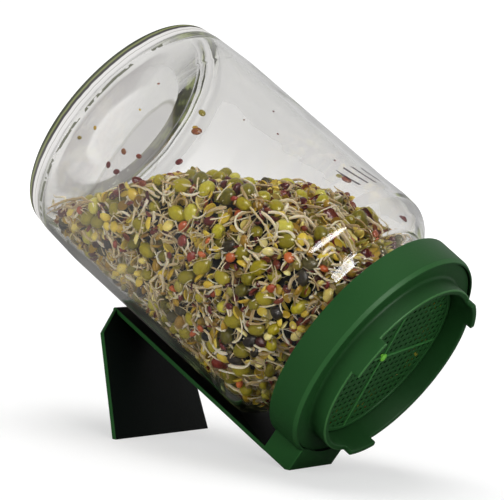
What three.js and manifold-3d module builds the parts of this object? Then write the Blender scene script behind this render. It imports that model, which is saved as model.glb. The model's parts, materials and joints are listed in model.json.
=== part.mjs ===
// A sprouting jar: a clear glass jar lying mouth-down on a green stand, over half full of sprouted beans.
// Units are millimetres. +Z is up, and the origin is on the ground under the middle of the whole object.
//
// Everything is first built along the jar's own axis and then tilted in one group.
// In the jar's frame +X runs along the axis towards the mouth, with 0 at the rear edge of the stand's ring,
// +Z points away from the stand's arm, and +Y is the far side.
import * as THREE from "three";
import { MeshSurfaceSampler } from "three/addons/math/MeshSurfaceSampler.js";
import { mergeVertices } from "three/addons/utils/BufferGeometryUtils.js";
import Module from "manifold-3d";

const wasm = await Module();
wasm.setup();

// The whole object
const TILT = THREE.MathUtils.degToRad(28.7);
const GROUND = 47.4; // from the jar's axis at 0 down to the ground, square to the ground
const GAP = 0.35; // between pieces that touch
const SEGMENTS = 36; // round the jar's axis

// Glass jar
const BODY_R = 46;
const WALL = 2.6;
const BASE_X = -120.25;
const BASE_THICKNESS = 5.5;
const NECK_R = 36.6;
const NECK_BORE_R = 34;
const RIM_X = 8.7;
const THREAD_X = 1.8;
const THREAD_HEIGHT = 0.95;

// Stand: a ring round the lid, a foot block, an arm under the jar and a leg
const RING_R = 42.3;
const RING_BORE_R = 39.95;
const RING_LENGTH = 12.5;
const ARM_HALF_WIDTH = 15;
const ARM_INNER = 46.75; // from the axis to the arm's upper face
const PLATE = 1.45;
const BEND_X = -75;
const LEG_ANGLE = THREE.MathUtils.degToRad(40); // between the arm and the leg
const LEG_LENGTH = 46;
const LEG_SHOULDER = 0.17 * LEG_LENGTH;
const LEG_SHOULDER_HALF_WIDTH = 26;
const LEG_FOOT_HALF_WIDTH = 31;

// Screw lid with its drain collar
const SKIRT_R = 39.6;
const SKIRT_BORE_R = 37.95;
const SKIRT_REAR_X = 1;
const LID_FACE_X = 11.6;
const COLLAR_R = 34.5;
const COLLAR_BORE_R = 32.5;
const COLLAR_X = 18.7;
const MERLON_HEIGHT = 2.9;
const MERLON_WIDTH = THREE.MathUtils.degToRad(26);
const MERLONS = [15, 135, 255]; // degrees round the axis from straight below, by way of the far side

// Sieve
const SIEVE_R = 32.15;
const SIEVE_FRONT_X = 11.1;
const SIEVE_THICKNESS = 1.2;
const FLANGE_R = 37.4;
const FLANGE_BORE_R = 29.5;
const HOLE_PITCH = 5.8;
const HOLE_WIDTH = 3;
const RIBS = [8, 98, 188, 278];
const RIB_WIDTH = 1.2;
const RIB_HEIGHT = 0.5;
const HUB_R = 2;

// Sprouted beans
const SEED = 2;
const CAVITY_R = BODY_R - WALL - 0.45;
const CORE_SINK = 4.4; // how far the core lies below the beans' outsides
const BEAN = [6.3, 4.9, 4.5]; // half length, half width, half height
const BEAN_SPACING = 9.6;
const SHOOTS = 36;
const LID_REACH_X = -5; // from here on the lid hides the bed, and no beans stand out of it
const SHOOT_R = 0.9;

// Colours from the photograph
const BEAN_GREEN = 0x7c7a26;
const CLEAR_GLASS = 0xd6dcd4;
const LID_GREEN = 0x234b28;
const SIEVE_GREEN = 0x1f5a26;

function material(color, roughness, extra = {}) {
  return new THREE.MeshStandardMaterial({ color, roughness, metalness: 0, ...extra });
}

// Closed geometry to solid, and back.
function solid(geometry) {
  const bare = geometry.clone();
  bare.deleteAttribute("normal");
  bare.deleteAttribute("uv");
  const merged = mergeVertices(bare, 1e-4);
  return new wasm.Manifold(
    new wasm.Mesh({
      numProp: 3,
      vertProperties: merged.attributes.position.array,
      triVerts: new Uint32Array(merged.index.array),
    }),
  );
}

function geometryOf(body) {
  const mesh = body.getMesh();
  const geometry = new THREE.BufferGeometry();
  geometry.setAttribute("position", new THREE.BufferAttribute(mesh.vertProperties, 3));
  geometry.setIndex(new THREE.BufferAttribute(mesh.triVerts, 1));
  geometry.computeVertexNormals();
  return geometry;
}

function piece(name, body, look) {
  const mesh = new THREE.Mesh(geometryOf(body), look);
  mesh.name = name;
  return mesh;
}

// Turns a profile of [x, radius] points round the jar's axis.
function turned(profile) {
  const points = profile.map(([x, radius]) => new THREE.Vector2(radius, x));
  return new THREE.LatheGeometry(points, SEGMENTS).rotateZ(-Math.PI / 2);
}

function ring(profile) {
  return solid(turned([...profile, profile[0]]));
}

function box(x0, x1, halfWidth, z0, z1) {
  const block = new THREE.BoxGeometry(x1 - x0, 2 * halfWidth, z1 - z0);
  return solid(block.translate((x0 + x1) / 2, 0, (z0 + z1) / 2));
}

// The direction from the axis at an angle from straight below, by way of the far side.
function spoke(degrees) {
  const angle = THREE.MathUtils.degToRad(degrees);
  return new THREE.Vector3(0, Math.sin(angle), -Math.cos(angle));
}

// A flat outline in the plane across the axis, made thick from x0 to x1. Outline points are [y, z].
function slab(shape, x0, x1) {
  const depth = x1 - x0;
  const geometry = new THREE.ExtrudeGeometry(shape, { depth, bevelEnabled: false, curveSegments: 8 });
  const turn = new THREE.Matrix4().makeBasis(
    new THREE.Vector3(0, 1, 0),
    new THREE.Vector3(0, 0, 1),
    new THREE.Vector3(1, 0, 0),
  );
  return solid(geometry.applyMatrix4(turn).translate(x0, 0, 0));
}

// The ground as a block in the jar's frame, to cut what stands on it flat.
function ground() {
  const depth = 100;
  const block = new THREE.BoxGeometry(400, 400, depth).translate(0, 0, -GROUND - depth / 2);
  return solid(block.rotateY(-TILT));
}

// The jar: a thick pushed-up base, a straight body, a slight bulge above the shoulder, and a threaded neck.
function jarGlass() {
  const inner = BODY_R - WALL;
  const floorX = BASE_X + BASE_THICKNESS;
  const outside = [
    [BASE_X + 2.4, 0],
    [BASE_X + 1.6, 32],
    [BASE_X, 36],
    [BASE_X, 41],
    [BASE_X + 1.6, 43.7],
    [-111, 44.8],
    [-95, BODY_R],
    [-30, BODY_R],
    [-22, BODY_R + 0.4],
    [-17, BODY_R + 0.3],
    [-13.5, 44.9],
    [-10.7, 42],
    [-8, 38.4],
    [-5, NECK_R],
    [THREAD_X - 1.6, NECK_R],
    [THREAD_X - 0.7, NECK_R + THREAD_HEIGHT],
    [THREAD_X + 0.7, NECK_R + THREAD_HEIGHT],
    [THREAD_X + 1.6, NECK_R],
    [RIM_X - 1, NECK_R],
    [RIM_X, NECK_R - 0.9],
  ];
  const inside = [
    [RIM_X, NECK_BORE_R + 0.7],
    [RIM_X - 1, NECK_BORE_R],
    [-5, NECK_BORE_R],
    [-9, 36.2],
    [-13, 41],
    [-17, inner - 0.1],
    [-30, inner],
    [-95, inner],
    [-108, inner - 1.2],
    [floorX + 1.2, 38],
    [floorX, 33],
    [floorX + 0.6, 0],
  ];
  return solid(turned([...outside, ...inside]));
}

// The room that the sprouts have inside the glass.
function jarCavity() {
  const floorX = BASE_X + BASE_THICKNESS + 1;
  return solid(
    turned([
      [floorX, 0],
      [floorX, 32],
      [floorX + 1.6, 37.4],
      [-107.6, CAVITY_R - 1.4],
      [-95, CAVITY_R],
      [-17.4, CAVITY_R],
      [-13.6, 40.4],
      [-9.6, 35.6],
      [-5.4, NECK_BORE_R - 0.5],
      [SIEVE_FRONT_X - SIEVE_THICKNESS - 1.7, NECK_BORE_R - 0.5],
      [SIEVE_FRONT_X - SIEVE_THICKNESS - 1.7, 0],
    ]),
  );
}

function legPlate() {
  const outline = new THREE.Shape();
  outline.moveTo(0, -ARM_HALF_WIDTH);
  outline.lineTo(LEG_SHOULDER, -LEG_SHOULDER_HALF_WIDTH);
  outline.lineTo(LEG_LENGTH, -LEG_FOOT_HALF_WIDTH);
  outline.lineTo(LEG_LENGTH, LEG_FOOT_HALF_WIDTH);
  outline.lineTo(LEG_SHOULDER, LEG_SHOULDER_HALF_WIDTH);
  outline.lineTo(0, ARM_HALF_WIDTH);
  const plate = new THREE.ExtrudeGeometry(outline, { depth: PLATE, bevelEnabled: false });
  plate.translate(0, 0, -PLATE / 2);
  return solid(plate.rotateY(LEG_ANGLE).translate(BEND_X, 0, -ARM_INNER - PLATE / 2));
}

// The stand is one moulding. Its foot block and its leg are cut flat where they meet the ground.
function stand() {
  const edge = 1.2;
  const hoop = ring([
    [0, RING_BORE_R],
    [0, RING_R - 0.4],
    [0.4, RING_R],
    [RING_LENGTH - edge, RING_R],
    [RING_LENGTH - 0.35, RING_R - 0.4],
    [RING_LENGTH, RING_R - edge],
    [RING_LENGTH, RING_BORE_R + 0.5],
    [RING_LENGTH - 0.5, RING_BORE_R],
  ]);
  const underside = -ARM_INNER - PLATE;
  const block = box(0, RING_LENGTH, ARM_HALF_WIDTH, underside, -RING_BORE_R * Math.cos(0.3));
  const bore = solid(
    turned([
      [-1, 0],
      [-1, RING_BORE_R],
      [RING_LENGTH + 1, RING_BORE_R],
      [RING_LENGTH + 1, 0],
    ]),
  );
  const arm = box(BEND_X, 1, ARM_HALF_WIDTH, underside, -ARM_INNER);
  const bend = new THREE.CylinderGeometry(PLATE / 2, PLATE / 2, 2 * ARM_HALF_WIDTH, 12);
  bend.translate(BEND_X, 0, -ARM_INNER - PLATE / 2);
  const whole = hoop.add(block.subtract(bore)).add(arm).add(solid(bend)).add(legPlate());
  return whole.subtract(ground());
}

// One upright tooth on the collar's rim, centred at an angle.
function merlon(degrees) {
  const middle = THREE.MathUtils.degToRad(degrees - 90);
  const outline = new THREE.Shape();
  const half = MERLON_WIDTH / 2;
  outline.absarc(0, 0, COLLAR_R - 0.2, middle - half, middle + half, false);
  outline.absarc(0, 0, COLLAR_BORE_R + 0.2, middle + half, middle - half, true);
  outline.closePath();
  return slab(outline, COLLAR_X - 1, COLLAR_X + MERLON_HEIGHT);
}

// The lid screws on the neck. Its collar keeps the sieve off the surface when the jar stands upside down.
function screwLid() {
  const threadX = THREAD_X + 3.4;
  const body = ring([
    [SKIRT_REAR_X, SKIRT_BORE_R],
    [SKIRT_REAR_X, SKIRT_R],
    [LID_FACE_X - 0.4, SKIRT_R],
    [LID_FACE_X, SKIRT_R - 0.4],
    [LID_FACE_X, COLLAR_R + 1.1],
    [LID_FACE_X + 1.1, COLLAR_R],
    [COLLAR_X - 0.5, COLLAR_R],
    [COLLAR_X, COLLAR_R - 0.5],
    [COLLAR_X, COLLAR_BORE_R + 0.4],
    [COLLAR_X - 0.4, COLLAR_BORE_R],
    [SIEVE_FRONT_X - SIEVE_THICKNESS + GAP, COLLAR_BORE_R],
    [SIEVE_FRONT_X - SIEVE_THICKNESS + GAP, SKIRT_BORE_R],
    [threadX + 0.7, SKIRT_BORE_R],
    [threadX, SKIRT_BORE_R - 0.9],
    [threadX - 0.7, SKIRT_BORE_R],
  ]);
  return MERLONS.reduce((lid, degrees) => lid.add(merlon(degrees)), body);
}

// The sieve disc has rows of holes, a flange that the lid clamps on the glass rim, and a cross of ribs.
function sieve() {
  const disc = new THREE.Shape().absarc(0, 0, FLANGE_BORE_R + 1, 0, 2 * Math.PI);
  const rows = Math.ceil(SIEVE_R / HOLE_PITCH);
  const half = HOLE_WIDTH / 2;
  const ribReach = half + RIB_WIDTH;
  for (let i = -rows; i <= rows; i++) {
    for (let j = -rows; j <= rows; j++) {
      const y = (i + (j % 2 ? 0.5 : 0)) * HOLE_PITCH;
      const z = j * HOLE_PITCH * Math.sin(Math.PI / 3);
      const centre = new THREE.Vector3(0, y, z);
      const underRib = RIBS.some((degrees) => Math.abs(spoke(degrees + 90).dot(centre)) < ribReach);
      if (underRib || Math.hypot(y, z) + HOLE_WIDTH > FLANGE_BORE_R) continue;
      const hole = new THREE.Path();
      hole.moveTo(y - half, z);
      hole.lineTo(y, z + half);
      hole.lineTo(y + half, z);
      hole.lineTo(y, z - half);
      hole.closePath();
      disc.holes.push(hole);
    }
  }
  const rearX = SIEVE_FRONT_X - SIEVE_THICKNESS;
  const flange = ring([
    [rearX - 0.85, FLANGE_BORE_R],
    [rearX - 0.85, FLANGE_R],
    [rearX, FLANGE_R],
    [rearX, SIEVE_R],
    [SIEVE_FRONT_X, SIEVE_R],
    [SIEVE_FRONT_X, FLANGE_BORE_R],
  ]);
  let body = slab(disc, rearX, SIEVE_FRONT_X - 0.2).add(flange);
  for (const degrees of RIBS) {
    const rib = new THREE.BoxGeometry(RIB_HEIGHT + 0.4, RIB_WIDTH, FLANGE_BORE_R + 0.5);
    rib.translate(SIEVE_FRONT_X + (RIB_HEIGHT - 0.4) / 2, 0, -(FLANGE_BORE_R + 0.5) / 2);
    body = body.add(solid(rib.rotateX(THREE.MathUtils.degToRad(degrees))));
  }
  const hub = new THREE.CylinderGeometry(HUB_R, HUB_R, 1.6, 10).rotateZ(Math.PI / 2);
  return body.add(solid(hub.translate(SIEVE_FRONT_X, 0, 0)));
}

// A repeatable random number between 0 and 1.
function seededRandom(seed) {
  let state = seed;
  return () => {
    state = (state + 0x6d2b79f5) | 0;
    let mixed = Math.imul(state ^ (state >>> 15), 1 | state);
    mixed = (mixed + Math.imul(mixed ^ (mixed >>> 7), 61 | mixed)) ^ mixed;
    return ((mixed ^ (mixed >>> 14)) >>> 0) / 4294967296;
  };
}

// The body of the bed without its beans. It fills the low side of the jar and ends in a nearly level top.
function bedCore() {
  const top = [
    [-115, -42],
    [-110, -22],
    [-103, -12],
    [-93, 1],
    [-81, 11],
    [-60, 23],
    [-42, 32],
    [-18, 35.5],
    [12, 36],
  ];
  const low = -BODY_R - 5;
  const outline = new THREE.Shape();
  outline.moveTo(top[0][0], low);
  top.forEach(([x, z]) => outline.lineTo(x, z - CORE_SINK));
  outline.lineTo(top.at(-1)[0], low);
  outline.closePath();
  const width = 2 * BODY_R + 10;
  const prism = new THREE.ExtrudeGeometry(outline, { depth: width, bevelEnabled: false });
  prism.rotateX(Math.PI / 2).translate(0, width / 2, 0);
  const r = CAVITY_R - CORE_SINK;
  const round = turned([
    [-111, 0],
    [-111, 33],
    [-107, r - 3],
    [-97, r],
    [-20, r],
    [-8.5, NECK_BORE_R - CORE_SINK],
    [3.5, NECK_BORE_R - CORE_SINK],
    [3.5, 0],
  ]);
  return solid(round).intersect(solid(prism));
}

// One bean lying on the core with its long side along the surface.
function bean(point, normal, random) {
  const size = 0.82 + 0.28 * random();
  const lie = new THREE.Vector3(random() - 0.5, random() - 0.5, random() - 0.5).normalize();
  const across = new THREE.Vector3().crossVectors(normal, lie).normalize();
  const along = new THREE.Vector3().crossVectors(across, normal);
  const frame = new THREE.Matrix4().makeBasis(along, across, normal);
  const shape = new THREE.IcosahedronGeometry(1, 0).scale(...BEAN.map((half) => half * size));
  shape.rotateX(0.5 * (random() - 0.5)).rotateY(0.4 * (random() - 0.5));
  const centre = point.clone().addScaledVector(normal, CORE_SINK - BEAN[2] * size);
  return solid(shape.applyMatrix4(frame).translate(...centre));
}

// One shoot that leaves the core, arches over it and goes back in.
function shoot(point, normal, rise, random) {
  const lie = new THREE.Vector3(random() - 0.5, random() - 0.5, random() - 0.5).normalize();
  const across = new THREE.Vector3().crossVectors(normal, lie).normalize();
  const along = new THREE.Vector3().crossVectors(across, normal);
  const span = 8 + 5 * random();
  const bow = (random() - 0.5) * span;
  const at = (u, side, height) =>
    point
      .clone()
      .addScaledVector(along, u * span)
      .addScaledVector(across, side * bow)
      .addScaledVector(normal, height);
  const route = new THREE.CatmullRomCurve3([
    at(-1, 0, -2),
    at(-0.55, 0.45, 0.7 * rise),
    at(0, 0.8, rise),
    at(0.55, 0.45, 0.7 * rise),
    at(1, 0, -2),
  ]);
  const section = new THREE.Shape();
  for (let corner = 0; corner < 3; corner++) {
    const angle = (corner * 2 * Math.PI) / 3;
    const x = SHOOT_R * Math.cos(angle);
    const y = SHOOT_R * Math.sin(angle);
    if (corner) section.lineTo(x, y);
    else section.moveTo(x, y);
  }
  return solid(new THREE.ExtrudeGeometry(section, { steps: 5, extrudePath: route, bevelEnabled: false }));
}

// The bed: beans spread evenly over the core's whole surface, shoots arching between them.
function sproutBed() {
  const random = seededRandom(SEED);
  const core = bedCore();
  const surface = new THREE.Mesh(geometryOf(core).toNonIndexed());
  const sampler = new MeshSurfaceSampler(surface).setRandomGenerator(random).build();
  const point = new THREE.Vector3();
  const normal = new THREE.Vector3();
  const added = [];
  const taken = [];
  const tries = 6000;
  for (let i = 0; i < tries; i++) {
    sampler.sample(point, normal);
    const hidden = point.x > LID_REACH_X;
    if (hidden || taken.some((other) => other.distanceTo(point) < BEAN_SPACING)) continue;
    taken.push(point.clone());
    added.push(bean(point, normal, random));
  }
  for (let i = 0; i < SHOOTS; i++) {
    do sampler.sample(point, normal);
    while (point.x > LID_REACH_X);
    const open = Math.hypot(point.y, point.z) < CAVITY_R - 11;
    added.push(shoot(point, normal, open ? 6 + 4 * random() : CORE_SINK - SHOOT_R, random));
  }
  const bed = added.reduce((whole, next) => whole.add(next), core).intersect(jarCavity());
  return bed.decompose().reduce((most, scrap) => (scrap.volume() > most.volume() ? scrap : most));
}

const pieces = [
  piece("jar_glass", jarGlass(), material(CLEAR_GLASS, 0.05, { transparent: true, opacity: 0.35 })),
  piece("stand", stand(), material(LID_GREEN, 0.45)),
  piece("screw_lid", screwLid(), material(LID_GREEN, 0.45)),
  piece("sieve", sieve(), material(SIEVE_GREEN, 0.5)),
  piece("sprout_bed", sproutBed(), material(BEAN_GREEN, 0.6)),
];

const tilted = new THREE.Group();
tilted.rotation.y = TILT;
tilted.add(...pieces);
tilted.updateMatrixWorld(true);
const reach = new THREE.Box3().setFromObject(tilted, true);
const middle = reach.getCenter(new THREE.Vector3());
tilted.position.set(-middle.x, -middle.y, GROUND);

const sproutingJar = new THREE.Group();
sproutingJar.add(tilted);

export default sproutingJar;
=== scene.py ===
"""Looks of a glass jar of bean sprouts that lies mouth-down on a green stand.

Every piece is modelled along the jar's own axis, in millimetres: x runs towards the mouth from the rear
edge of the stand's ring, z points away from the stand's arm, and y is the far side. It is then set in its
tilted place.
"""
import json
import math

import bpy
import numpy as np
from mathutils import Matrix, Vector


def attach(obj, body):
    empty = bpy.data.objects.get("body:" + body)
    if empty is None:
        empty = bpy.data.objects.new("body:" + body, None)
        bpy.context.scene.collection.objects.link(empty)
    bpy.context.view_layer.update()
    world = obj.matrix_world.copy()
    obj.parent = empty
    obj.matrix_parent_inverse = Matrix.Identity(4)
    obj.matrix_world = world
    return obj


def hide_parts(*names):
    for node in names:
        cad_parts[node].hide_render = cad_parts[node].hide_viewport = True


MM = 0.001

# The jar's place in the frame: its tilt, and its axis point over the stand's feet
TILT = math.radians(28.7)
AXIS_HEIGHT = 47.4
LEG_FOOT_BEHIND = 72.3

# Glass
BODY_R = 46
WALL = 2.6
BASE_X = -120.25
FLOOR_X = -117.3
NECK_R = 36.6
NECK_BORE_R = 34
RIM_X = 8.7
THREAD_X = 1.8
HEEL_MARKS = (-112.2, -110.7)
HEEL_R = 41.5
HEEL_BAND = 7.5
DISC_R = 40
STROKE_PITCH = 4.2

# The grey oval of painted light in the base disc, as [middle, half its size], to the side and up
OVAL_BESIDE = (19.5, 16.5)
OVAL_ABOVE = (-17, 31)
OVAL_GREY = (0.48, 0.46, 0.455, 1)

# Stand
RING_R = 42.3
RING_BORE_R = 39.95
LIP_R = 41.6
RING_LENGTH = 12.5
ARM_HALF_WIDTH = 15
ARM_INNER = 46.75
PLATE = 1.45
BEND_X = -75
LEG_ANGLE = math.radians(40)
LEG_LENGTH = 46
LEG_SHOULDER = 0.17 * LEG_LENGTH
LEG_SHOULDER_HALF_WIDTH = 26
LEG_FOOT_HALF_WIDTH = 31
ARM_TOP_HEIGHT = 59

# Lid and sieve
SKIRT_R = 39.6
SKIRT_BORE_R = 37.95
LID_FACE_X = 11.6
COLLAR_R = 34.5
COLLAR_BORE_R = 32.5
COLLAR_X = 18.7
LUG_HEIGHT = 2.9
LUG_WIDTH = math.radians(26)
LUGS = (12.5, 138.5, 255)
SIEVE_FRONT_X = 11.1
SIEVE_THICKNESS = 1.2
SIEVE_R = 32.15
SIEVE_PITCH = 2.75
SIEVE_HOLE_R = 0.72
SIEVE_LEAN = math.radians(16.7)
SIEVE_SHEET = 0.28
FLANGE_R = 37.4
FLANGE_BORE_R = 30.6
RIBS = (11.5, 101.5, 191.5, 281.5)

# Sprouts
SEED = 11
TRIES = 60000
MOTTLE = 0.25
STRAY_SIZE = (1, 0.75, 0.3)
CORE_DEPTH = 6

# The room inside the glass as [x, radius], and the line of the heap's top as [x, height over the axis]
ROOM_X, ROOM_R = zip(
    (-114.4, 34), (-112.5, 37.8), (-108, 41.7), (-97, 43.2), (-19, 43.2),
    (-13.6, 40.8), (-9.6, 36.2), (-6, 33.8), (8.2, 33.8),
)
TOP_X, TOP_Z = zip(
    (-115, -46), (-110, -36), (-103, -25), (-93, -13), (-84, -3), (-76, 6), (-64, 15.5), (-50, 22),
    (-36, 25), (-22, 26), (-10, 24.5), (12, 23),
)
MOUND_X, MOUND_Y, MOUND_RISE = -79, -20, 6
MOUND_LENGTH, MOUND_WIDTH = 9, 20

# Where shoots start along the axis, how far they may reach, and the glass wall's radius for their curls
WALL_SHOOTS, WALL_REACH = (-112, -4), (-112.5, 6)
TOP_SHOOTS, TOP_REACH = (-108, 4), (-110, 5)
CURL_R = 43

# Beans as [name, half sizes, form, scales, how many, how deep from the heap's skin]
KINDS = (
    ("mung_beans", (3.8, 2.9, 2.8), {}, (0.68, 1.04), 560, 9),
    ("dark_beans", (2.9, 2.2, 2.1), {}, (0.7, 1), 150, 8),
    ("red_lentils", (2.2, 2.1, 1.3), {}, (0.6, 1), 170, 7),
    ("split_beans", (2.7, 2, 1.5), {"flat": True}, (0.55, 1.1), 1500, 7),
    ("bean_hulls", (2.6, 2, 1.5), {"shell": 0.16}, (0.5, 1.1), 1180, 6),
)

# Bits stuck to the inside of the near wall, by finish, as [x, degrees round, tone, length]
STRAYS = {
    "bean_hulls": (
        (-76.8, 230.2, 0.67, 1.9), (-81, 221.9, 0.85, 1.5), (-108.5, 268.2, 0.8, 0.9), (-13.2, 176, 0.3, 1.9),
        (-73, 245.7, 0.35, 1.4), (-88.7, 267.5, 0.3, 1.3), (-92.7, 267.6, 0.35, 1.2),
        (-85.5, 255.6, 0.55, 1.1), (-91, 258.5, 0.65, 1.2), (-68.4, 192.6, 0.5, 0.5),
        (-58.9, 202.9, 0.5, 0.5), (-40.4, 189.8, 0.2, 0.6), (-31, 195.5, 0.62, 1.9),
        (-33.5, 197, 0.85, 1.2), (-70, 210, 0.7, 0.4), (-100, 225, 0.65, 0.5), (-50, 170, 0.6, 0.6),
    ),
    "split_beans": ((-78.1, 229.4, 0.1, 1.1), (-105.5, 259.5, 0.2, 0.8), (-97, 240, 0.4, 0.5)),
}

# Camera, in metres from the jar's own origin
LENS = 226.4
EYE_RIGHT = (0.8554, 0.5007, 0.1323)
EYE_AHEAD = (-0.4923, 0.8655, -0.0929)
EYE_PLACE = (0.4912, -0.9443, 0.1234)

# Soft lamps as [name, place, size, power], in metres and watts
LAMPS = (
    ("overhead", (-0.1, 0.1, 1.3), (0.9, 0.9), 11),
    ("fill", (-0.35, -1.3, 0.25), (0.9, 0.7), 9.5),
    ("front", (1.1, -0.65, 0.3), (0.8, 0.6), 7.5),
    ("rear", (0.3, 1.3, 0.5), (0.9, 0.7), 4),
)
WINDOW_PLACE = (1, -0.5, 0.72)
LAMPS_AIM = (0, 0, 0.06)

# The studio's bright side, level and away from the camera
BACK = (-0.49, 0.87, 0)

STEPS = 160

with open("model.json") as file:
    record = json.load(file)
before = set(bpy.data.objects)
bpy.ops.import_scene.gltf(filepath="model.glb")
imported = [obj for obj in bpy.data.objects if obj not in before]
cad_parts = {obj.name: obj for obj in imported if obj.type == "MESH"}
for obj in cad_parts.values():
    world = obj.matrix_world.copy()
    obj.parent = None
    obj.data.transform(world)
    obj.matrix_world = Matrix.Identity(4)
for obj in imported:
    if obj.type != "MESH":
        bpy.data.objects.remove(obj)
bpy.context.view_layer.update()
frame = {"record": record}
foot_x = next(m["pos_m"][0] for m in frame["record"]["mounts"] if m["name"] == "leg_foot") / MM
JAR_PLACE = Matrix.Translation(Vector((foot_x + LEG_FOOT_BEHIND, 0, AXIS_HEIGHT)) * MM)
JAR_PLACE = JAR_PLACE @ Matrix.Rotation(TILT, 4, "Y") @ Matrix.Scale(MM, 4)


# Modelling helpers

def deselect():
    if bpy.context.object and bpy.context.object.mode != "OBJECT":
        leave_edit()
    bpy.ops.object.select_all(action="DESELECT")


def pick(thing):
    deselect()
    thing.select_set(True)
    bpy.context.view_layer.objects.active = thing


def new_piece(name):
    thing = bpy.context.object
    thing.name = name
    thing.data.name = name
    return thing


def put(name, data):
    thing = bpy.data.objects.new(name, data)
    bpy.context.collection.objects.link(thing)
    return thing


def apply_place(thing, turn=None, location=None):
    """Puts a piece's turn and place, where given, into its mesh."""
    if turn:
        thing.rotation_euler = turn
    if location:
        thing.location = location
    pick(thing)
    bpy.ops.object.transform_apply(location=True, rotation=True, scale=True)
    return thing


def apply_modifier(thing, kind, **settings):
    pick(thing)
    modifier = thing.modifiers.new(kind.lower(), kind)
    for key, value in settings.items():
        setattr(modifier, key, value)
    bpy.ops.object.modifier_apply(modifier=modifier.name)


def edit(thing):
    pick(thing)
    bpy.ops.object.mode_set(mode="EDIT")
    bpy.ops.mesh.select_all(action="SELECT")


def leave_edit():
    bpy.ops.object.mode_set(mode="OBJECT")


def turn_outwards():
    bpy.ops.mesh.select_all(action="SELECT")
    bpy.ops.mesh.normals_make_consistent(inside=False)


def select_where(thing, kind, test, among=False):
    """Selects faces or edges of a mesh in edit mode by a test on their middle and their normal or course.

    With among, only those that are selected already stay in question."""
    leave_edit()
    mesh = thing.data
    asked = [item.select or not among for item in (mesh.polygons if kind == "FACE" else mesh.edges)]
    bpy.ops.object.mode_set(mode="EDIT")
    bpy.ops.mesh.select_mode(type=kind)
    bpy.ops.mesh.select_all(action="DESELECT")
    leave_edit()
    if kind == "FACE":
        for face in mesh.polygons:
            face.select = asked[face.index] and test(face.center, face.normal)
    else:
        for edge in mesh.edges:
            a, b = (mesh.vertices[i].co for i in edge.vertices)
            edge.select = asked[edge.index] and test((a + b) / 2, b - a)
    bpy.ops.object.mode_set(mode="EDIT")


def smooth(thing, angle=35):
    pick(thing)
    bpy.ops.object.shade_smooth_by_angle(angle=math.radians(angle))


def finish_piece(thing, material, node):
    """Sets a piece in the jar's place, gives it its finish, hangs it on the root body and hides the part that
    it stands for.
    """
    thing.matrix_world = JAR_PLACE
    apply_place(thing)
    thing.data.materials.clear()
    thing.data.materials.append(material)
    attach(thing, "root")
    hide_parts(node)


def tint_faces(thing, material, test):
    """Gives another finish to the faces that a test picks by place in the jar's frame, radius and lean.

    Lean is how far a face looks along the axis to the mouth, from -1 to 1."""
    thing.data.materials.append(material)
    index = len(thing.data.materials) - 1
    back = JAR_PLACE.inverted()
    axis = (JAR_PLACE.to_3x3() @ Vector((1, 0, 0))).normalized()
    for face in thing.data.polygons:
        at = back @ face.center
        if test(at, at.yz.length, face.normal.dot(axis)):
            face.material_index = index


def rounded(corners, fine):
    """The points of an outline whose corners, [x, radius from the axis, rounding], are made round."""
    points = []
    for i, (x, r, rounding) in enumerate(corners):
        here = Vector((x, r))
        if not rounding or i in (0, len(corners) - 1):
            points.append((x, r))
            continue
        back = (Vector(corners[i - 1][:2]) - here).normalized()
        ahead = (Vector(corners[i + 1][:2]) - here).normalized()
        half = back.angle(ahead) / 2
        reach = rounding / math.tan(half)
        start, end = here + back * reach, here + ahead * reach
        centre = here + (back + ahead).normalized() * (rounding / math.sin(half))
        for k in range(fine + 1):
            spoke = (start - centre).slerp(end - centre, k / fine)
            points.append(tuple(centre + spoke.normalized() * rounding))
    return points


def turned(name, outline, closed=False, steps=STEPS):
    """Grows an outline ring by ring round the jar's axis. A closed outline returns to its first point."""
    if closed:
        outline = list(outline) + [outline[0]]
    x, r = outline[0]
    deselect()
    cap = "NOTHING" if closed else "TRIFAN"
    bpy.ops.mesh.primitive_circle_add(vertices=steps, radius=r, fill_type=cap, location=(x, 0, 0))
    thing = apply_place(new_piece(name), turn=(0, math.pi / 2, 0))
    edit(thing)
    bpy.ops.mesh.select_mode(type="EDGE")
    if not closed:
        select_where(thing, "EDGE", lambda middle, along: middle.yz.length > 0.6 * r)
    for (x0, r0), (x1, r1) in zip(outline, outline[1:]):
        bpy.ops.mesh.extrude_edges_move(TRANSFORM_OT_translate={"value": (x1 - x0, 0, 0)})
        bpy.ops.transform.resize(value=(1, r1 / r0, r1 / r0), center_override=(x1, 0, 0))
    if not closed:
        bpy.ops.mesh.edge_face_add()
        bpy.ops.mesh.poke()
    bpy.ops.mesh.select_all(action="SELECT")
    bpy.ops.mesh.remove_doubles(threshold=0.002)
    turn_outwards()
    leave_edit()
    return thing


def block(name, low, high, rounding):
    """A block between two corners, with rounded edges."""
    size = [b - a for a, b in zip(low, high)]
    middle = [(a + b) / 2 for a, b in zip(low, high)]
    deselect()
    bpy.ops.mesh.primitive_cube_add(size=1, location=middle, scale=size)
    thing = apply_place(new_piece(name))
    edit(thing)
    bpy.ops.mesh.bevel(offset=rounding, segments=3, affect="EDGES")
    leave_edit()
    return thing


def combine(thing, other, how="UNION"):
    """Joins or cuts one piece by another, which is used up."""
    apply_modifier(thing, "BOOLEAN", operation=how, solver="EXACT", object=other)
    bpy.data.objects.remove(other)
    return thing


def spoke(degrees):
    """The direction from the axis at an angle from straight below, by way of the far side."""
    angle = math.radians(degrees)
    return Vector((0, math.sin(angle), -math.cos(angle)))


# Material helpers

def light(colour):
    """A socket's colour, from one as seen, 0 to 255 by channel, from a plain grey, or one that is ready."""
    if isinstance(colour, (int, float)):
        return (colour, colour, colour, 1)
    if len(colour) == 4:
        return colour
    shares = (value / 255 for value in colour)
    return (*(s / 12.92 if s <= 0.04045 else ((s + 0.055) / 1.055) ** 2.4 for s in shares), 1)


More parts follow.
